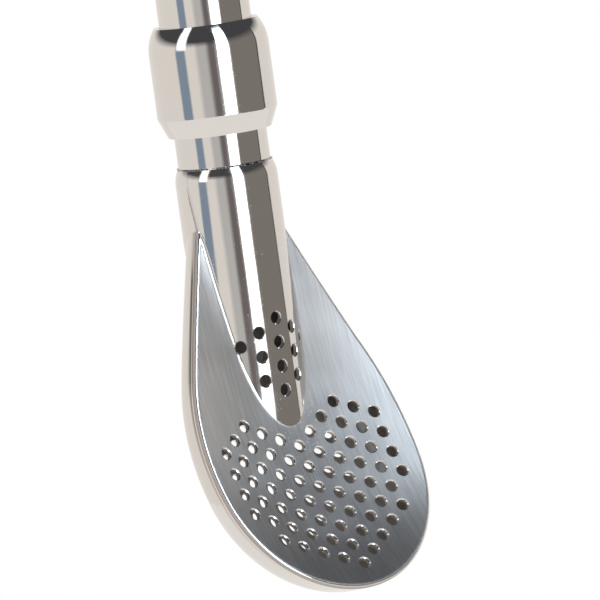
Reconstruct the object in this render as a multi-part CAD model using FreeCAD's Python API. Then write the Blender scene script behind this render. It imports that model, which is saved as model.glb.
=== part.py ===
"""A screw-apart bombilla: the steel straw that mate is drunk through, with a spoon-shaped filter.

The tube's axis is Z, with +Z towards the mouth. The origin is on that axis at the collar's top face, where
the bare stem starts. The filter's perforated face looks along -Y. All lengths are in millimetres.
"""
import FreeCAD, Part
import math
import os

from FreeCAD import Vector

# Stem
tube_diameter = 8.0
tube_wall = 0.4
stem_length = 104.0
mouth_length = 28.0
lip_width = 10.1
lip_thickness = 5.0
lip_rounding = 0.15
spigot_length = 8.0

# Collar, brazed on the stem's lower end
collar_diameter = 10.4
collar_length = 9.5
collar_end_diameter = 8.95
collar_crown = 2.3
collar_taper = 1.7
collar_edge_rounding = 0.25
socket_depth = 2.8
land_thickness = 0.5

# Screw joint inside the collar
passage_diameter = 6.0
seal_thickness = 0.7
seal_width = 0.42
thread_pitch = 0.75
thread_length = 3.2
thread_diameter = 7.8
thread_depth = 0.4
thread_angle = 60.0
thread_lead_in = 0.3
neck_exposed = 2.85
neck_in_filter = 6.0
ferrule_spigot_length = 4.0

# Filter sheet, sleeve and ridge
sheet = 0.4
sleeve_crown = 1.35
sleeve_lip = 0.08
ridge_foot_rounding = 0.35
ridge_reach = 24.0
braze_width = 0.1
braze_height = 0.14

# Plate: a straight trough that runs into part of a ball, hollow towards the front
bowl_radius = 40.2
plate_slope = 10.0
plate_set_back = 0.29
straight_length = 16.1
rim_rounding = 0.3
pan_depth = 3.5
pan_edge_rounding = 2.9

# Outline, drawn on the plane that touches the plate where its straight trough ends
outline_start = -11.4
outline_end = 22.1
outline_half_width = 11.0
outline_widest_at = 10.0
outline_side_radius = 22.7

# Channel behind the plate, which fades into the pan
channel_bend_radius = 16.0
channel_reach = 19.5

# Punched holes. Each pattern lists its columns from the middle one outwards, as (first row, number of rows).
hole_diameter = 1.0
hole_chamfer = 0.1
plate_pitch = 1.964
plate_first_row = 19.32
plate_turn = -2.0
plate_shift = 0.1
plate_columns = ((3.0, 7), (2.5, 7), (2.0, 7), (1.5, 7), (2.0, 6), (2.5, 4))
pan_pitch = 1.743
pan_first_row = 19.45
pan_turn = -5.8
pan_shift = -0.46
pan_columns = ((2.0, 7), (1.5, 8), (2.0, 7), (2.5, 6), (3.0, 4))
pattern_pivot_row = 5.0
ridge_pitch = 2.094
ridge_first_row = 13.35
ridge_column_angle = 23.1
ridge_pattern_turn = -2.3
ridge_columns = ((0.0, 4), (0.5, 3), (1.0, 1))

# Clearances
braze_gap = 0.03
running_clearance = 0.06

# Sizes that follow from the ones above
tube_radius = tube_diameter / 2
bore_radius = tube_radius - tube_wall
passage_radius = passage_diameter / 2
land_top = -socket_depth
land_bottom = land_top - land_thickness
ferrule_top = land_bottom - seal_thickness
thread_bottom = ferrule_top - thread_length
neck_top = thread_bottom - 2 * running_clearance
shoulder = -collar_length - neck_exposed
sleeve_bore = tube_radius + braze_gap
sleeve_radius = sleeve_bore + sheet
slope = math.radians(plate_slope)
down_plate = Vector(0, -math.sin(slope), -math.cos(slope))
behind_plate = Vector(0, math.cos(slope), -math.sin(slope))
trough_end = Vector(0, plate_set_back, shoulder) + down_plate * straight_length
bowl_centre = trough_end - behind_plate * bowl_radius
far = 4 * bowl_radius
origin = Vector(0, 0, 0)
up = Vector(0, 0, 1)


def line(start, end):
    return Part.LineSegment(start, end).toShape()


def arc(start, middle, end):
    return Part.Arc(start, middle, end).toShape()


def turned(corners):
    """A solid turned about the tube's axis from a closed outline of (radius, height) corners."""
    points = [Vector(radius, 0, height) for radius, height in corners]
    wire = Part.makePolygon(points + points[:1])
    return Part.Face(wire).revolve(origin, up, 360)


def rod(radius, bottom, top):
    return Part.makeCylinder(radius, top - bottom, Vector(0, 0, bottom), up)


def ring(inner, outer, bottom, top):
    return rod(outer, bottom, top).cut(rod(inner, bottom, top))


def thread_cut(inner, outer, width_at, start):
    """The helical groove of a right-hand thread, width_at(radius) wide, for cutting out of a blank."""
    half_inner = width_at(inner) / 2
    half_outer = width_at(outer) / 2
    corners = [Vector(inner, 0, start - half_inner), Vector(outer, 0, start - half_outer),
               Vector(outer, 0, start + half_outer), Vector(inner, 0, start + half_inner)]
    helix = Part.makeHelix(thread_pitch, ferrule_top - start + thread_pitch, inner)
    helix.translate(Vector(0, 0, start))
    sweep = Part.BRepOffsetAPI.MakePipeShell(Part.Wire(helix.Edges))
    sweep.setFrenetMode(True)
    sweep.add(Part.makePolygon(corners + corners[:1]))
    sweep.build()
    sweep.makeSolid()
    return sweep.shape()


# The two threads share one pitch line, and each stands back from it by half of the flank clearance.
flank = math.tan(math.radians(thread_angle / 2))
thread_radius = thread_diameter / 2
thread_root = thread_radius - thread_depth
pitch_line = thread_radius - thread_depth / 2
nut_minor = thread_root + running_clearance
nut_major = thread_radius + running_clearance


def male_groove_width(radius):
    return thread_pitch / 2 + running_clearance + 2 * flank * (radius - pitch_line)


def female_groove_width(radius):
    return thread_pitch / 2 + running_clearance - 2 * flank * (radius - pitch_line)


def make_stem_tube():
    return ring(bore_radius, tube_radius, land_top, stem_length)


def make_mouthpiece():
    """A round tube that is pressed to an oval lip, with a spigot brazed into the stem."""
    spigot_radius = bore_radius - braze_gap
    spigot_bore = spigot_radius - tube_wall
    lip_height = stem_length + mouth_length

    def oval(shrink):
        half_width = lip_width / 2 - shrink
        half_thickness = lip_thickness / 2 - shrink
        curve = Part.Ellipse(Vector(0, 0, lip_height), half_width, half_thickness)
        return Part.Wire(curve.toShape())

    def round_end(radius):
        return Part.Wire(Part.makeCircle(radius, Vector(0, 0, stem_length), up))

    outside = Part.makeLoft([round_end(tube_radius), oval(0)], True, False)
    edges = [edge for edge in outside.Edges if edge.BoundBox.ZMin > lip_height - lip_rounding]
    outside = outside.makeFillet(lip_rounding, edges)
    inside = Part.makeLoft([round_end(spigot_bore), oval(tube_wall)], True, False)
    spigot = ring(spigot_bore, spigot_radius, stem_length - spigot_length, stem_length)
    return outside.cut(inside).fuse(spigot).removeSplitter()


def make_collar():
    """A turned sleeve: socket for the stem, land for the seal, female thread and plain guide bore."""
    outer = collar_diameter / 2
    end = collar_end_diameter / 2
    bottom = -collar_length
    step = outer - end
    crown_radius = (collar_crown ** 2 + step ** 2) / (2 * step)
    half_angle = math.asin(collar_crown / crown_radius) / 2
    crown_middle = Vector(outer - crown_radius + crown_radius * math.cos(half_angle), 0,
                          -collar_crown + crown_radius * math.sin(half_angle))
    top_end = Vector(end, 0, 0)
    top_full = Vector(outer, 0, -collar_crown)
    bottom_full = Vector(outer, 0, bottom + collar_taper)
    bottom_end = Vector(end, 0, bottom)
    edges = [arc(top_end, crown_middle, top_full), line(top_full, bottom_full),
             line(bottom_full, bottom_end), line(bottom_end, Vector(0, 0, bottom)),
             line(Vector(0, 0, bottom), origin), line(origin, top_end)]
    blank = Part.Face(Part.Wire(edges)).revolve(origin, up, 360)
    tapers = [edge for edge in blank.Edges
              if edge.BoundBox.ZLength < 0.01 and abs(edge.BoundBox.ZMin - bottom_full.z) < 0.01]
    blank = blank.makeFillet(collar_edge_rounding, tapers)

    guide = tube_radius + running_clearance
    lead_in = guide - nut_minor
    bore = turned([(0, bottom - 1), (guide, bottom - 1), (guide, thread_bottom),
                   (nut_minor, thread_bottom + lead_in), (nut_minor, land_bottom),
                   (passage_radius + running_clearance, land_bottom),
                   (passage_radius + running_clearance, land_top),
                   (tube_radius + braze_gap, land_top), (tube_radius + braze_gap, 1), (0, 1)])
    inner = nut_minor - running_clearance
    groove = thread_cut(inner, nut_major, female_groove_width, thread_bottom - thread_pitch)
    groove = groove.common(ring(inner / 2, collar_diameter, thread_bottom - thread_pitch, land_bottom))
    return blank.cut(bore).cut(groove)


def make_seal_ring():
    inner = passage_radius + running_clearance
    return ring(inner, inner + seal_width, ferrule_top, land_bottom)


def make_threaded_ferrule():
    spigot_radius = bore_radius - braze_gap
    lead_radius = thread_radius - thread_lead_in
    blank = turned([(passage_radius, neck_top - ferrule_spigot_length),
                    (spigot_radius, neck_top - ferrule_spigot_length), (spigot_radius, neck_top),
                    (thread_radius, neck_top), (thread_radius, ferrule_top - thread_lead_in),
                    (lead_radius, ferrule_top), (passage_radius, ferrule_top)])
    outer = thread_radius + running_clearance
    groove = thread_cut(thread_root, outer, male_groove_width, thread_bottom - thread_pitch / 2)
    groove = groove.common(ring(passage_radius, collar_diameter, thread_bottom, ferrule_top + thread_pitch))
    return blank.cut(groove)


def make_neck_tube():
    return ring(bore_radius, tube_radius, shoulder - neck_in_filter, neck_top)


def make_shoulder_braze():
    return turned([(tube_radius, shoulder), (tube_radius + braze_width, shoulder),
                   (tube_radius, shoulder + braze_height)])


def plate_point(across, along, behind):
    """The point that lies so far across and along the plate's face from the shoulder, and behind it."""
    side = across / bowl_radius
    turn = max(along - straight_length, 0) / bowl_radius
    straight = min(along - straight_length, 0)
    back = behind_plate * math.cos(turn) + down_plate * math.sin(turn)
    outwards = Vector(math.sin(side), 0, 0) + back * math.cos(side)
    return bowl_centre + down_plate * straight + outwards * (bowl_radius + behind)


def depth_behind_face(point):
    """How far a point lies behind the plate's face."""
    offset = point - bowl_centre
    straight = min(offset.dot(down_plate), 0)
    return (offset - down_plate * straight).Length - bowl_radius


def in_front_of(behind):
    """All that lies in front of the surface that is so far behind the plate's face."""
    radius = bowl_radius + behind
    top = bowl_centre - down_plate * far
    bend = bowl_centre + behind_plate * radius
    middle = bowl_centre + (behind_plate + down_plate) * (radius / math.sqrt(2))
    pole = bowl_centre + down_plate * radius
    edges = [line(top, top + behind_plate * radius), line(top + behind_plate * radius, bend),
             arc(bend, middle, pole), line(pole, top)]
    return Part.Face(Part.Wire(edges)).revolve(bowl_centre, down_plate, 360)


def outline_block(inset):
    """A block through the plate with its outline, its walls straight along the direction of pressing."""
    side_centre_x = outline_half_width - outline_side_radius
    reach = outline_end - outline_widest_at
    end_radius = ((side_centre_x ** 2 + reach ** 2 - outline_side_radius ** 2)
                  / (2 * (reach - outline_side_radius)))
    end_centre = outline_end - end_radius
    meet = math.atan2(end_centre - outline_widest_at, -side_centre_x)
    half_start = sleeve_radius - sheet / 2
    to_start = (half_start - side_centre_x, outline_start - outline_widest_at)
    tangent = math.atan2(to_start[1], to_start[0]) + math.acos(outline_side_radius / math.hypot(*to_start))

    def place(across, along, mirror=1):
        return trough_end + Vector(across * mirror, 0, 0) + down_plate * along

    def side_at(angle, mirror):
        radius = outline_side_radius - inset
        return place(side_centre_x + radius * math.cos(angle), outline_widest_at + radius * math.sin(angle),
                     mirror)

    def start(mirror):
        return place(half_start - inset * math.cos(tangent), outline_start - inset * math.sin(tangent),
                     mirror)

    edges = [line(start(1), start(-1)),
             arc(side_at(meet, 1), place(0, outline_end - inset), side_at(meet, -1))]
    for mirror in (1, -1):
        edges.append(line(start(mirror), side_at(tangent, mirror)))
        edges.append(arc(side_at(tangent, mirror), side_at((tangent + meet) / 2, mirror),
                         side_at(meet, mirror)))
    face = Part.Face(Part.Wire(Part.__sortEdges__(edges)))
    face.translate(behind_plate * -bowl_radius)
    return face.extrude(behind_plate * (bowl_radius + 4 * pan_depth))


def edges_at_depth(shape, depth):
    """The edges of a shape that lie on the surface so far behind the face, without those at the sleeve."""
    found = []
    for edge in shape.Edges:
        middle = edge.valueAt((edge.FirstParameter + edge.LastParameter) / 2)
        along_outline = abs(middle.x) > 0.6 * sleeve_radius or middle.z < bowl_centre.z - far
        at_tip = (middle - bowl_centre).dot(down_plate) > 0
        if abs(depth_behind_face(middle) - depth) < 0.01 and (along_outline or at_tip):
            found.append(edge)
    return found


def front_half():
    """The room that the front shell may fill: before the sleeve's middle, and before the plate's back."""
    block = Part.makeBox(far, far, far, Vector(-far / 2, -far, shoulder - far / 2))
    return in_front_of(sheet).common(block)


def chamfered_pin(start, end, entry):
    """A pin from start to end that widens to a chamfer at the surface that it enters, entry past its start."""
    direction = (end - start).normalize()
    radius = hole_diameter / 2
    pin = Part.makeCylinder(radius, (end - start).Length, start, direction)
    rim = start + direction * (entry - hole_chamfer)
    return pin.fuse(Part.makeCone(radius + 2 * hole_chamfer, radius, 2 * hole_chamfer, rim, direction))


def hole_pins(columns, pitch, first_row, shift, turn, near, deep):
    """Pins through a staggered pattern of punched holes, from one depth behind the face to another."""
    turn = math.radians(turn)
    pivot = pattern_pivot_row * pitch
    pins = []
    for column in range(1 - len(columns), len(columns)):
        first, count = columns[abs(column)]
        for row in range(count):
            across = column * pitch * math.sin(math.radians(60))
            along = (first + row) * pitch - pivot
            turned_across = shift + across * math.cos(turn) - along * math.sin(turn)
            turned_along = first_row + pivot + across * math.sin(turn) + along * math.cos(turn)
            start = plate_point(turned_across, turned_along, near)
            end = plate_point(turned_across, turned_along, deep)
            pins.append(chamfered_pin(start, end, sheet))
    return pins


def ridge_pins():
    """Pins through the ridge's punched holes."""
    pins = []
    for column in range(1 - len(ridge_columns), len(ridge_columns)):
        first, count = ridge_columns[abs(column)]
        angle = math.radians(ridge_pattern_turn + column * ridge_column_angle)
        outwards = Vector(math.sin(angle), -math.cos(angle), 0)
        for row in range(count):
            height = shoulder - ridge_first_row - (first + row) * ridge_pitch
            outside = outwards * (sleeve_radius + sheet) + up * height
            inside = outwards * (sleeve_bore - sheet) + up * height
            pins.append(chamfered_pin(outside, inside, sheet))
    return pins


def outside_crown():
    """The room round the sleeve's top end, where the sheet is drawn in to meet the neck."""
    drop = sleeve_radius - sleeve_bore - sleeve_lip
    radius = (sleeve_crown ** 2 + drop ** 2) / (2 * drop)
    half_angle = math.asin(sleeve_crown / radius) / 2
    bottom = shoulder - sleeve_crown
    start = Vector(sleeve_radius, 0, bottom)
    middle = Vector(sleeve_radius - radius + radius * math.cos(half_angle), 0,
                    bottom + radius * math.sin(half_angle))
    end = Vector(sleeve_radius - drop, 0, shoulder)
    corners = [end, end + up, Vector(sleeve_radius + 1, 0, shoulder + 1), Vector(sleeve_radius + 1, 0, bottom),
               start]
    edges = [arc(start, middle, end)] + [line(*pair) for pair in zip(corners, corners[1:])]
    return Part.Face(Part.Wire(edges)).revolve(origin, up, 360)


def make_front_shell():
    """Half of the sleeve, the half-round ridge and the perforated plate, stamped from one sheet."""
    plate = outline_block(0).common(in_front_of(sheet)).cut(in_front_of(0))
    plate = plate.makeFillet(rim_rounding, edges_at_depth(plate, 0))
    ridge = rod(sleeve_radius, shoulder - ridge_reach, shoulder).common(front_half())
    shell = plate.fuse(ridge).removeSplitter()
    foot = [edge for edge in shell.Edges
            if abs(depth_behind_face(edge.valueAt((edge.FirstParameter + edge.LastParameter) / 2))) < 0.01
            and abs(math.hypot(*edge.valueAt((edge.FirstParameter + edge.LastParameter) / 2)[:2])
                    - sleeve_radius) < 0.01]
    shell = shell.makeFillet(ridge_foot_rounding, foot)
    shell = shell.cut(rod(sleeve_bore, shoulder - ridge_reach, shoulder + 1))
    shell = shell.cut(outside_crown())
    pins = hole_pins(plate_columns, plate_pitch, plate_first_row, plate_shift, plate_turn, -sheet, 2 * sheet)
    return shell.cut(Part.makeCompound(pins + ridge_pins()))


def channel(radius):
    """A round passage that comes straight down out of the sleeve and then bends forwards into the pan.

    Its rearmost line ends on the floor of the pan, channel_reach below the shoulder along the plate.
    """
    bend_start = shoulder - neck_in_filter
    pivot = Vector(0, -channel_bend_radius, bend_start)
    landing = plate_point(0, channel_reach, pan_depth - sheet) - pivot
    rear_line_radius = channel_bend_radius + sleeve_radius
    angle = math.atan2(-landing.z, landing.y) - math.acos(rear_line_radius / landing.Length)
    straight = rod(radius, bend_start, shoulder)
    circle = Part.Face(Part.Wire(Part.makeCircle(radius, Vector(0, 0, bend_start), up)))
    bend = circle.revolve(pivot, Vector(-1, 0, 0), math.degrees(angle))
    bend_end = pivot + Vector(0, math.cos(angle), -math.sin(angle)) * channel_bend_radius
    direction = Vector(0, -math.sin(angle), -math.cos(angle))
    length = math.sqrt(landing.Length ** 2 - rear_line_radius ** 2)
    run = Part.makeCylinder(radius, length, bend_end, direction)
    return straight.fuse([bend, run])


def make_rear_shell():
    """The other half of the sleeve and the perforated pan behind the plate, with its rounded edge."""
    floor = pan_depth - sheet
    pan = outline_block(0).common(in_front_of(pan_depth)).cut(in_front_of(sheet))
    pan = pan.makeFillet(pan_edge_rounding, edges_at_depth(pan, pan_depth))
    hollow = outline_block(sheet).common(in_front_of(floor)).cut(in_front_of(0))
    hollow = hollow.makeFillet(pan_edge_rounding - sheet, edges_at_depth(hollow, floor))
    shell = pan.fuse(channel(sleeve_radius))
    shell = shell.cut(hollow).cut(channel(sleeve_bore)).cut(front_half()).cut(outside_crown())
    pins = hole_pins(pan_columns, pan_pitch, pan_first_row, pan_shift, pan_turn,
                     pan_depth + sheet, floor - sheet)
    return shell.cut(Part.makeCompound(pins))


nodes = {
    "mouthpiece": make_mouthpiece,
    "stem_tube": make_stem_tube,
    "collar": make_collar,
    "seal_ring": make_seal_ring,
    "threaded_ferrule": make_threaded_ferrule,
    "neck_tube": make_neck_tube,
    "shoulder_braze": make_shoulder_braze,
    "front_shell": make_front_shell,
    "rear_shell": make_rear_shell,
}

os.makedirs("parts", exist_ok=True)
for name, make in nodes.items():
    shape = make()
    shape.exportStep(f"parts/{name}.step")
    box = shape.BoundBox
    print(f"{name}: {len(shape.Solids)} solid, valid {shape.isValid()}, {shape.Volume:.1f} mm3, "
          f"x {box.XMin:.2f}..{box.XMax:.2f}, y {box.YMin:.2f}..{box.YMax:.2f}, "
          f"z {box.ZMin:.2f}..{box.ZMax:.2f}")
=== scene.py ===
"""A steel bombilla, photographed from close by: the filter spoon, its neck, the collar and the stem."""

import math

import bpy
from mathutils import Matrix, Vector


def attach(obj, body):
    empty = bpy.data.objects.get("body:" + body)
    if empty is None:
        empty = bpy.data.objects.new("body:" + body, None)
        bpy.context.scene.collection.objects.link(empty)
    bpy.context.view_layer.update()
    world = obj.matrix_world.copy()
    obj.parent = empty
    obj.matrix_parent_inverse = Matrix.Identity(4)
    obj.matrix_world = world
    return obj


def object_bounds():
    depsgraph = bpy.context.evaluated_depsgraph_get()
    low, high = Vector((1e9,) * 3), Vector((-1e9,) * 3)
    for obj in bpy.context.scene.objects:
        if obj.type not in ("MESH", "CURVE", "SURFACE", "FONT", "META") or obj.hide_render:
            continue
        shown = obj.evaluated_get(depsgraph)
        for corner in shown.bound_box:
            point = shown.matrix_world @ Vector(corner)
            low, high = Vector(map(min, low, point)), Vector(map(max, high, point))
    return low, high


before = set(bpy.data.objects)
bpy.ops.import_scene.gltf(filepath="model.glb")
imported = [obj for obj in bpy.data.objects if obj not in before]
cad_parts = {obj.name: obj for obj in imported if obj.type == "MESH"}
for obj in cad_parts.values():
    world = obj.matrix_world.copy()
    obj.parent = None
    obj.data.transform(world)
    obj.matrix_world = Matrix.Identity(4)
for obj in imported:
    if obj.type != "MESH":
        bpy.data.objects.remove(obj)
cad_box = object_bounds()


# The studio is a room with pale warm walls and a dim ceiling. A tall window stands to the right of the camera with
# a framed dark screen beyond it, a grey cloth hangs behind the camera, and a blue-grey door with a lit pane over it
# stands to the left. Only metal mirrors these things, each of one plain colour: matt surfaces get an even light.
def add(tree, kind, **settings):
    node = tree.nodes.new(kind)
    for name, value in settings.items():
        setattr(node, name, value)
    return node


def math_node(tree, operation, first, second=None, clamp=False):
    node = add(tree, "ShaderNodeMath", operation=operation, use_clamp=clamp)
    for socket, value in zip(node.inputs, (first, second)):
        if isinstance(value, bpy.types.NodeSocket):
            tree.links.new(value, socket)
        elif value is not None:
            socket.default_value = value
    return node.outputs[0]


def blend(tree, factor, below, above):
    node = add(tree, "ShaderNodeMix", data_type="RGBA")
    for socket, value in zip((node.inputs[0], node.inputs[6], node.inputs[7]), (factor, below, above)):
        if isinstance(value, bpy.types.NodeSocket):
            tree.links.new(value, socket)
        elif isinstance(value, tuple):
            socket.default_value = (*value, 1)
        else:
            socket.default_value = value
    return node.outputs[2]


world = bpy.data.worlds.new("studio")
bpy.context.scene.world = world
world.use_nodes = True
room = world.node_tree
room.nodes.clear()
camera_bearing = math.radians(128)
direction = add(room, "ShaderNodeTexCoord").outputs["Generated"]
facing = add(room, "ShaderNodeMapping", vector_type="POINT")
facing.inputs["Rotation"].default_value[2] = camera_bearing
room.links.new(direction, facing.inputs["Vector"])
around = add(room, "ShaderNodeTexGradient", gradient_type="RADIAL")
room.links.new(facing.outputs["Vector"], around.inputs["Vector"])
parts = add(room, "ShaderNodeSeparateXYZ")
room.links.new(direction, parts.inputs["Vector"])
height = parts.outputs["Z"]


def between(tree, value, start, end):
    """Rises from 0 to 1 while the value goes from start to end."""
    return math_node(tree, "MULTIPLY", math_node(tree, "SUBTRACT", value, start), 1 / (end - start), clamp=True)


def standing(left, right, softness):
    """1 between two bearings, in degrees to the right of the camera, with soft edges."""
    bearing = math_node(room, "MULTIPLY", math_node(room, "SUBTRACT", around.outputs["Fac"], 0.5), 360)
    return math_node(room, "MULTIPLY", between(room, bearing, left - softness, left + softness),
                     between(room, bearing, right + softness, right - softness))


walls = (0.88, 0.84, 0.79)
door = (0.26, 0.33, 0.42)
pane_over_door = (1.8, 1.8, 1.8)
backdrop = (0.58, 0.57, 0.56)
camera_side = (0.18, 0.16, 0.16)
screen = (0.24, 0.22, 0.20)
screen_frame = (0.08, 0.07, 0.06)
dim_ceiling = (0.07, 0.07, 0.075)
window_light = (4.2, 4.7, 5.2)
seen = blend(room, standing(-68, -48, 2), walls, door)
seen = blend(room, standing(-26, 14, 4), seen, backdrop)
seen = blend(room, standing(-4, 12, 4), seen, camera_side)
seen = blend(room, standing(40, 105, 2), seen, screen)
seen = blend(room, standing(102, 105, 0.8), seen, screen_frame)
seen = blend(room, between(room, height, 0.22, 0.42), seen, dim_ceiling)
pane = math_node(room, "MULTIPLY", standing(-66, -46, 2), between(room, height, 0.10, 0.20))
seen = blend(room, pane, seen, pane_over_door)
window = math_node(room, "MULTIPLY", standing(15, 38, 1), between(room, height, 0.85, 0.70))
seen = blend(room, window, seen, window_light)

path = add(room, "ShaderNodeLightPath")
mirrored = add(room, "ShaderNodeBackground")
room.links.new(seen, mirrored.inputs["Color"])
white = add(room, "ShaderNodeBackground")
white.inputs["Color"].default_value = (1, 1, 1, 1)
soft = add(room, "ShaderNodeBackground")
soft.inputs["Color"].default_value = (0.92, 0.91, 0.90, 1)
by_gloss = add(room, "ShaderNodeMixShader")
room.links.new(path.outputs["Is Glossy Ray"], by_gloss.inputs["Fac"])
room.links.new(soft.outputs[0], by_gloss.inputs[1])
room.links.new(mirrored.outputs[0], by_gloss.inputs[2])
by_camera = add(room, "ShaderNodeMixShader")
room.links.new(path.outputs["Is Camera Ray"], by_camera.inputs["Fac"])
room.links.new(by_gloss.outputs[0], by_camera.inputs[1])
room.links.new(white.outputs[0], by_camera.inputs[2])
room.links.new(by_camera.outputs[0], add(room, "ShaderNodeOutputWorld").inputs["Surface"])


# The table under the spoon: a round sheet of matt white card, some way below it, that shows pale in the metal.
table_radius = 0.20
table_gap = 0.05
card = bpy.data.materials.new("white_card")
card.use_nodes = True
card_tree = card.node_tree
card_tree.nodes.clear()
card_path = add(card_tree, "ShaderNodeLightPath")
card_plain = add(card_tree, "ShaderNodeBsdfDiffuse")
card_plain.inputs["Color"].default_value = (0.9, 0.89, 0.87, 1)
card_white = add(card_tree, "ShaderNodeEmission")
card_mirrored = add(card_tree, "ShaderNodeEmission")
card_mirrored.inputs["Color"].default_value = (0.95, 0.92, 0.88, 1)
card_shown = add(card_tree, "ShaderNodeMixShader")
card_tree.links.new(card_path.outputs["Is Glossy Ray"], card_shown.inputs["Fac"])
card_tree.links.new(card_plain.outputs[0], card_shown.inputs[1])
card_tree.links.new(card_mirrored.outputs[0], card_shown.inputs[2])
card_lit = add(card_tree, "ShaderNodeMixShader")
card_tree.links.new(card_path.outputs["Is Camera Ray"], card_lit.inputs["Fac"])
card_tree.links.new(card_shown.outputs[0], card_lit.inputs[1])
card_tree.links.new(card_white.outputs[0], card_lit.inputs[2])
card_tree.links.new(card_lit.outputs[0], add(card_tree, "ShaderNodeOutputMaterial").inputs["Surface"])
rim = [(table_radius * math.cos(math.radians(a)), table_radius * math.sin(math.radians(a)),
        cad_box[0][2] - table_gap) for a in range(0, 360, 5)]
table_mesh = bpy.data.meshes.new("table")
table_mesh.from_pydata(rim, [], [list(range(len(rim)))])
table_mesh.materials.append(card)
table = bpy.data.objects.new("table", table_mesh)
bpy.context.scene.collection.objects.link(table)


# The camera looks down a little on the hollow side of the spoon from its left, and the straw leans in the
# picture, as it was photographed. The aim is the shoulder of the filter.
azimuth = math.radians(-38.3881)
elevation = math.radians(5.2627)
roll = math.radians(7.7784)
distance = 0.5625
field = 0.6 / 11.6294
aim = Vector((0, 0, -0.01235))
level_right = Vector((math.cos(azimuth), math.sin(azimuth), 0))
level_up = Vector((-math.sin(azimuth) * math.sin(elevation), math.cos(azimuth) * math.sin(elevation),
                   math.cos(elevation)))
backwards = Vector((math.sin(azimuth) * math.cos(elevation), -math.cos(azimuth) * math.cos(elevation),
                    math.sin(elevation)))
right = level_right * math.cos(roll) - level_up * math.sin(roll)
upwards = level_right * math.sin(roll) + level_up * math.cos(roll)
camera_data = bpy.data.cameras.new("camera")
camera = bpy.data.objects.new("camera", camera_data)
bpy.context.scene.collection.objects.link(camera)
turned = Matrix((right, upwards, backwards)).transposed().to_4x4()
camera.matrix_world = Matrix.Translation(aim + backwards * distance) @ turned
camera_data.sensor_width = 36
camera_data.lens = 36 * distance / field
picture_width = 600
aim_across = 224.56
aim_down = 164.01
camera_data.shift_x = (picture_width / 2 - aim_across) / picture_width
camera_data.shift_y = -(picture_width / 2 - aim_down) / picture_width
camera_data.clip_start = 0.01
camera_data.clip_end = 50
bpy.context.scene.camera = camera
bpy.context.scene.view_settings.view_transform = "Standard"


# The drawn stainless tube, polished on a wheel: a mirror with a slight waviness, hair lines round the tube,
# softer spots where the polish is thinner and fine specks of grit that caught in it.
def noise(tree, vector, scale, detail, stretch=None):
    if stretch:
        mapping = add(tree, "ShaderNodeMapping")
        mapping.inputs["Scale"].default_value = stretch
        tree.links.new(vector, mapping.inputs["Vector"])
        vector = mapping.outputs["Vector"]
    node = add(tree, "ShaderNodeTexNoise")
    node.inputs["Scale"].default_value = scale
    node.inputs["Detail"].default_value = detail
    tree.links.new(vector, node.inputs["Vector"])
    return node.outputs["Fac"]


def polish(tree, place, waviness, hair, roughness):
    wave = noise(tree, place, 420, 1)
    lines = noise(tree, place, 1, 2, (2500, 2500, 6000))
    spots = noise(tree, place, 260, 3)
    specks = noise(tree, place, 6500, 1)
    dull = math_node(tree, "MULTIPLY_ADD", math_node(tree, "SUBTRACT", spots, 0.5, clamp=True), 0.25)
    dull.node.inputs[2].default_value = roughness
    grit = math_node(tree, "MULTIPLY", between(tree, specks, 0.71, 0.80), 0.2)
    dull = math_node(tree, "ADD", dull, grit)
    soft_bump = add(tree, "ShaderNodeBump")
    soft_bump.inputs["Strength"].default_value = 1
    soft_bump.inputs["Distance"].default_value = waviness
    tree.links.new(wave, soft_bump.inputs["Height"])
    fine_bump = add(tree, "ShaderNodeBump")
    fine_bump.inputs["Strength"].default_value = 1
    fine_bump.inputs["Distance"].default_value = hair
    tree.links.new(lines, fine_bump.inputs["Height"])
    tree.links.new(soft_bump.outputs["Normal"], fine_bump.inputs["Normal"])
    return dull, fine_bump.outputs["Normal"]


def new_steel(name, colour):
    material = bpy.data.materials.new(name)
    material.use_nodes = True
    tree = material.node_tree
    shader = tree.nodes["Principled BSDF"]
    shader.inputs["Base Color"].default_value = (*colour, 1)
    shader.inputs["Metallic"].default_value = 1
    return material, tree, shader, add(tree, "ShaderNodeTexCoord")


def dress(node, material):
    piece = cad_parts[node]
    piece.data.materials.clear()
    piece.data.materials.append(material)


steel_colour = (0.74, 0.72, 0.70)
wave_height = 0.000005
hair_height = 0.0000012
polished, tree, shader, coordinates = new_steel("polished_steel", steel_colour)
dull, normal = polish(tree, coordinates.outputs["Object"], wave_height, hair_height, 0.04)
tree.links.new(dull, shader.inputs["Roughness"])
tree.links.new(normal, shader.inputs["Normal"])
for node in ("stem_tube", "mouthpiece", "collar", "neck_tube", "threaded_ferrule"):
    dress(node, polished)


# The front of the filter is stamped from one sheet. Its ridge and its rounded rim are polished like the tube,
# and the hollow plate is left with the fine long strokes of an abrasive belt, which run down the spoon.
bowl_radius = 0.0402
plate_slope = math.radians(10)
down_plate = Vector((0, -math.sin(plate_slope), -math.cos(plate_slope)))
behind_plate = Vector((0, math.cos(plate_slope), -math.sin(plate_slope)))
bowl_centre = Vector((0, 0.00029, -0.01235)) + down_plate * 0.0161 - behind_plate * bowl_radius


def vector_node(tree, operation, first, second):
    node = add(tree, "ShaderNodeVectorMath", operation=operation)
    for socket, value in zip(node.inputs, (first, second)):
        if isinstance(value, bpy.types.NodeSocket):
            tree.links.new(value, socket)
        else:
            socket.default_value = value
    return node.outputs["Value" if operation in ("DOT_PRODUCT", "LENGTH", "DISTANCE") else "Vector"]


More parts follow.
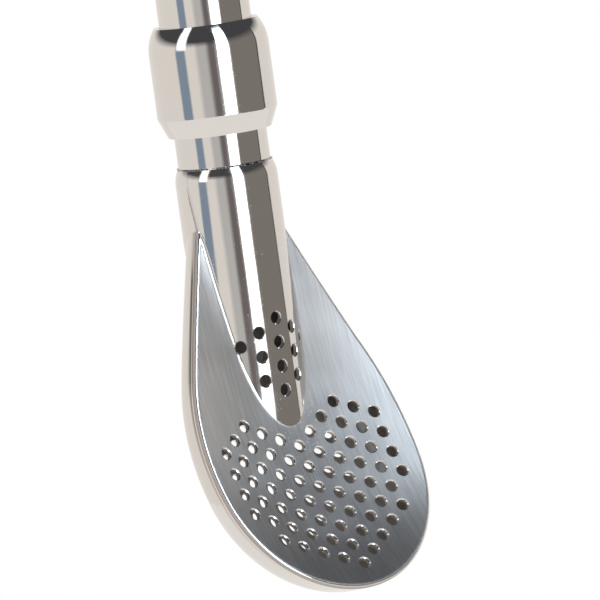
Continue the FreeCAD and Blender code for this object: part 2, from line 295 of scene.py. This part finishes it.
def depth_behind_face(tree, place):
    """How far a point lies behind the plate's hollow face, which is a trough that runs into a ball."""
    offset = vector_node(tree, "SUBTRACT", place, bowl_centre)
    above_ball = math_node(tree, "MINIMUM", vector_node(tree, "DOT_PRODUCT", offset, down_plate), 0.0)
    scaled = add(tree, "ShaderNodeVectorMath", operation="SCALE")
    scaled.inputs[0].default_value = down_plate
    tree.links.new(above_ball, scaled.inputs["Scale"])
    across = vector_node(tree, "SUBTRACT", offset, scaled.outputs["Vector"])
    return math_node(tree, "SUBTRACT", vector_node(tree, "LENGTH", across, (0, 0, 0)), bowl_radius)


brushed, tree, shader, coordinates = new_steel("brushed_steel", steel_colour)
place = coordinates.outputs["Object"]
dull, normal = polish(tree, place, wave_height, hair_height, 0.045)
depth = depth_behind_face(tree, place)
face = math_node(tree, "SUBTRACT", 1.0, between(tree, math_node(tree, "ABSOLUTE", depth), 0.00003, 0.00006))
behind = between(tree, depth, 0.00012, 0.00020)
split = add(tree, "ShaderNodeSeparateXYZ")
tree.links.new(place, split.inputs["Vector"])
off_axis = math_node(tree, "SQRT", math_node(tree, "ADD", math_node(tree, "POWER", split.outputs["X"], 2.0),
                                             math_node(tree, "POWER", split.outputs["Y"], 2.0)))
under_ridge = math_node(tree, "MULTIPLY", between(tree, off_axis, 0.00434, 0.00430),
                        between(tree, depth, -0.0001, -0.0002))
under_ridge = math_node(tree, "MULTIPLY", under_ridge, between(tree, split.outputs["Z"], -0.0180, -0.0185))
# The back of the sheet and the inside of the ridge have a dull, less metallic finish. Their colour is darkened as
# painted shade in these hollows behind the holes.
dull_inside_and_shade = math_node(tree, "MAXIMUM", behind, under_ridge)
along = add(tree, "ShaderNodeMapping")
along.inputs["Rotation"].default_value = (-plate_slope, 0, 0)
tree.links.new(place, along.inputs["Vector"])
strokes = noise(tree, along.outputs["Vector"], 1, 3, (8500, 420, 230))
broad = noise(tree, along.outputs["Vector"], 1, 2, (1500, 300, 90))
tone = math_node(tree, "MULTIPLY_ADD", math_node(tree, "SUBTRACT", strokes, 0.5), 0.42)
tone.node.inputs[2].default_value = 0.71
tone = math_node(tree, "ADD", tone, math_node(tree, "MULTIPLY", math_node(tree, "SUBTRACT", broad, 0.5), 0.12))
ridge_tip = Vector((0.0008, -0.0044, -0.0353))
near_tip = between(tree, vector_node(tree, "DISTANCE", place, ridge_tip), 0.0042, 0.0012)
scuffs = math_node(tree, "MULTIPLY", between(tree, noise(tree, place, 4200, 2), 0.60, 0.66), near_tip)
tone = math_node(tree, "ADD", tone, math_node(tree, "MULTIPLY", scuffs, 0.30))
tinted = add(tree, "ShaderNodeCombineColor")
for channel in ("Red", "Green", "Blue"):
    tree.links.new(tone, tinted.inputs[channel])
colour = blend(tree, face, steel_colour, tinted.outputs["Color"])
# Painted shade: the inside is coloured a darker brown-grey.
colour = blend(tree, dull_inside_and_shade, colour, (0.46, 0.42, 0.39))
tree.links.new(colour, shader.inputs["Base Color"])
rough = math_node(tree, "ADD", dull, math_node(tree, "MULTIPLY", face, 0.28))
rough = math_node(tree, "ADD", rough, math_node(tree, "MULTIPLY", dull_inside_and_shade, 0.40))
metallic = math_node(tree, "SUBTRACT", 1.0, math_node(tree, "MULTIPLY", dull_inside_and_shade, 0.65))
tree.links.new(metallic, shader.inputs["Metallic"])
shader.inputs["Anisotropic"].default_value = 0.8
across_spoon = add(tree, "ShaderNodeCombineXYZ")
across_spoon.inputs["X"].default_value = 1
tangent = add(tree, "ShaderNodeVectorTransform", vector_type="VECTOR", convert_from="OBJECT", convert_to="WORLD")
tree.links.new(across_spoon.outputs["Vector"], tangent.inputs["Vector"])
tree.links.new(tangent.outputs["Vector"], shader.inputs["Tangent"])
tree.links.new(rough, shader.inputs["Roughness"])
stroke_bump = add(tree, "ShaderNodeBump")
stroke_bump.inputs["Distance"].default_value = 0.000006
tree.links.new(face, stroke_bump.inputs["Strength"])
tree.links.new(strokes, stroke_bump.inputs["Height"])
tree.links.new(normal, stroke_bump.inputs["Normal"])
tree.links.new(stroke_bump.outputs["Normal"], shader.inputs["Normal"])
dress("front_shell", brushed)


# The rear of the filter: the same sheet pressed to a pan, polished outside and dull inside, where its colour is
# darkened as painted shade, and soldered to the front all round its edge, where the seam is stained brown.
pan, tree, shader, coordinates = new_steel("pan_steel", steel_colour)
place = coordinates.outputs["Object"]
dull, normal = polish(tree, place, wave_height, hair_height, 0.04)
depth = depth_behind_face(tree, place)
forwards = vector_node(tree, "DOT_PRODUCT", coordinates.outputs["Normal"], behind_plate)
dull_inner_and_shade = between(tree, forwards, -0.2, -0.35)
split = add(tree, "ShaderNodeSeparateXYZ")
tree.links.new(place, split.inputs["Vector"])
seam = math_node(tree, "MULTIPLY", between(tree, depth, 0.00056, 0.00046),
                 between(tree, split.outputs["Z"], -0.0170, -0.0185))
# A dark band on the pan wall a little behind the seam is a painted reflection of something dark, set into the colour.
painted_dark_reflection = math_node(tree, "MULTIPLY", between(tree, depth, 0.00062, 0.00068), between(tree, depth, 0.00100, 0.00082))
painted_dark_reflection = math_node(tree, "MULTIPLY", painted_dark_reflection, between(tree, split.outputs["Z"], -0.047, -0.027))
painted_dark_reflection = math_node(tree, "MULTIPLY", painted_dark_reflection, between(tree, split.outputs["Z"], -0.0195, -0.0215))
colour = blend(tree, painted_dark_reflection, steel_colour, (0.20, 0.18, 0.17))
colour = blend(tree, seam, colour, (0.36, 0.27, 0.22))
# Painted shade: the pan's inner face is coloured a darker brown-grey over its dull finish.
colour = blend(tree, dull_inner_and_shade, colour, (0.50, 0.46, 0.43))
tree.links.new(colour, shader.inputs["Base Color"])
rough = math_node(tree, "ADD", dull, math_node(tree, "MULTIPLY", dull_inner_and_shade, 0.40))
metallic = math_node(tree, "SUBTRACT", 1.0, math_node(tree, "MULTIPLY", dull_inner_and_shade, 0.65))
tree.links.new(metallic, shader.inputs["Metallic"])
tree.links.new(rough, shader.inputs["Roughness"])
tree.links.new(normal, shader.inputs["Normal"])
dress("rear_shell", pan)


# The seal: a flat washer of translucent white silicone between the collar's land and the ferrule.
def ramp(tree, factor, stops, interpolation="LINEAR"):
    node = add(tree, "ShaderNodeValToRGB")
    node.color_ramp.interpolation = interpolation
    elements = node.color_ramp.elements
    while len(elements) < len(stops):
        elements.new(0.5)
    for element, (place, colour) in zip(elements, stops):
        element.position = place
        element.color = (*colour, 1)
    tree.links.new(factor, node.inputs["Fac"])
    return node.outputs["Color"]


silicone = bpy.data.materials.new("silicone")
silicone.use_nodes = True
tree = silicone.node_tree
shader = tree.nodes["Principled BSDF"]
shader.inputs["Roughness"].default_value = 0.55
shader.inputs["Subsurface Weight"].default_value = 0.2
shader.inputs["Subsurface Radius"].default_value = (0.001, 0.001, 0.001)
cloudy = noise(tree, add(tree, "ShaderNodeTexCoord").outputs["Object"], 900, 2)
tree.links.new(ramp(tree, cloudy, [(0.3, (0.74, 0.74, 0.70)), (0.7, (0.84, 0.84, 0.80))]), shader.inputs["Base Color"])
dress("seal_ring", silicone)


# The braze at the shoulder: a thin fillet that runs round the neck, with a row of small beads where it ran out
# of the gap and set. Flux has stained it dark in spots.
braze = bpy.data.materials.new("braze")
braze.use_nodes = True
tree = braze.node_tree
shader = tree.nodes["Principled BSDF"]
shader.inputs["Metallic"].default_value = 1
shader.inputs["Roughness"].default_value = 0.25
stains = noise(tree, add(tree, "ShaderNodeTexCoord").outputs["Object"], 2200, 1)
tree.links.new(ramp(tree, stains, [
    (0.36, (0.10, 0.08, 0.07)), (0.46, (0.62, 0.58, 0.54)), (0.70, (0.84, 0.81, 0.77))]),
    shader.inputs["Base Color"])
dress("shoulder_braze", braze)

neck_radius = 0.004
shoulder = -0.01235
bead_row = bpy.data.node_groups.new("bead_row", "GeometryNodeTree")
bead_row.interface.new_socket("Geometry", in_out="OUTPUT", socket_type="NodeSocketGeometry")
for name, kind, value in (("Beads", "NodeSocketInt", 90), ("Row Radius", "NodeSocketFloat", neck_radius + 0.00006),
                          ("Bead Radius", "NodeSocketFloat", 0.000075), ("Seed", "NodeSocketInt", 7)):
    bead_row.interface.new_socket(name, in_out="INPUT", socket_type=kind).default_value = value
given = add(bead_row, "NodeGroupInput")
row = add(bead_row, "GeometryNodeMeshCircle")
bead_row.links.new(given.outputs["Beads"], row.inputs["Vertices"])
bead_row.links.new(given.outputs["Row Radius"], row.inputs["Radius"])
strayed = add(bead_row, "FunctionNodeRandomValue", data_type="FLOAT_VECTOR")
strayed.inputs[0].default_value = (-0.00006, -0.00006, -0.00002)
strayed.inputs[1].default_value = (0.00006, 0.00006, 0.00005)
bead_row.links.new(given.outputs["Seed"], strayed.inputs["Seed"])
moved = add(bead_row, "GeometryNodeSetPosition")
bead_row.links.new(row.outputs["Mesh"], moved.inputs["Geometry"])
bead_row.links.new(strayed.outputs[0], moved.inputs["Offset"])
bead = add(bead_row, "GeometryNodeMeshIcoSphere")
bead.inputs["Subdivisions"].default_value = 2
bead_row.links.new(given.outputs["Bead Radius"], bead.inputs["Radius"])
girth = add(bead_row, "FunctionNodeRandomValue", data_type="FLOAT_VECTOR")
girth.inputs[0].default_value = (0.35, 0.35, 0.3)
girth.inputs[1].default_value = (1.1, 1.1, 0.9)
bead_row.links.new(given.outputs["Seed"], girth.inputs["Seed"])
placed = add(bead_row, "GeometryNodeInstanceOnPoints")
bead_row.links.new(moved.outputs["Geometry"], placed.inputs["Points"])
bead_row.links.new(bead.outputs["Mesh"], placed.inputs["Instance"])
bead_row.links.new(girth.outputs[0], placed.inputs["Scale"])
lifted = add(bead_row, "GeometryNodeTransform")
lifted.inputs["Translation"].default_value = (0, 0, shoulder + 0.00004)
bead_row.links.new(placed.outputs["Instances"], lifted.inputs["Geometry"])
made = add(bead_row, "GeometryNodeRealizeInstances")
bead_row.links.new(lifted.outputs["Geometry"], made.inputs["Geometry"])
coated = add(bead_row, "GeometryNodeSetMaterial")
coated.inputs["Material"].default_value = braze
bead_row.links.new(made.outputs["Geometry"], coated.inputs["Geometry"])
bead_row.links.new(coated.outputs["Geometry"], add(bead_row, "NodeGroupOutput").inputs["Geometry"])

carrier = bpy.data.objects.new("bead_carrier", bpy.data.meshes.new("bead_carrier"))
bpy.context.scene.collection.objects.link(carrier)
carrier.modifiers.new("beads", "NODES").node_group = bead_row
bpy.context.view_layer.update()
evaluated = carrier.evaluated_get(bpy.context.evaluated_depsgraph_get())
beads = bpy.data.objects.new("braze_beads", bpy.data.meshes.new_from_object(evaluated))
bpy.data.objects.remove(carrier)
bpy.context.scene.collection.objects.link(beads)
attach(beads, "filter")
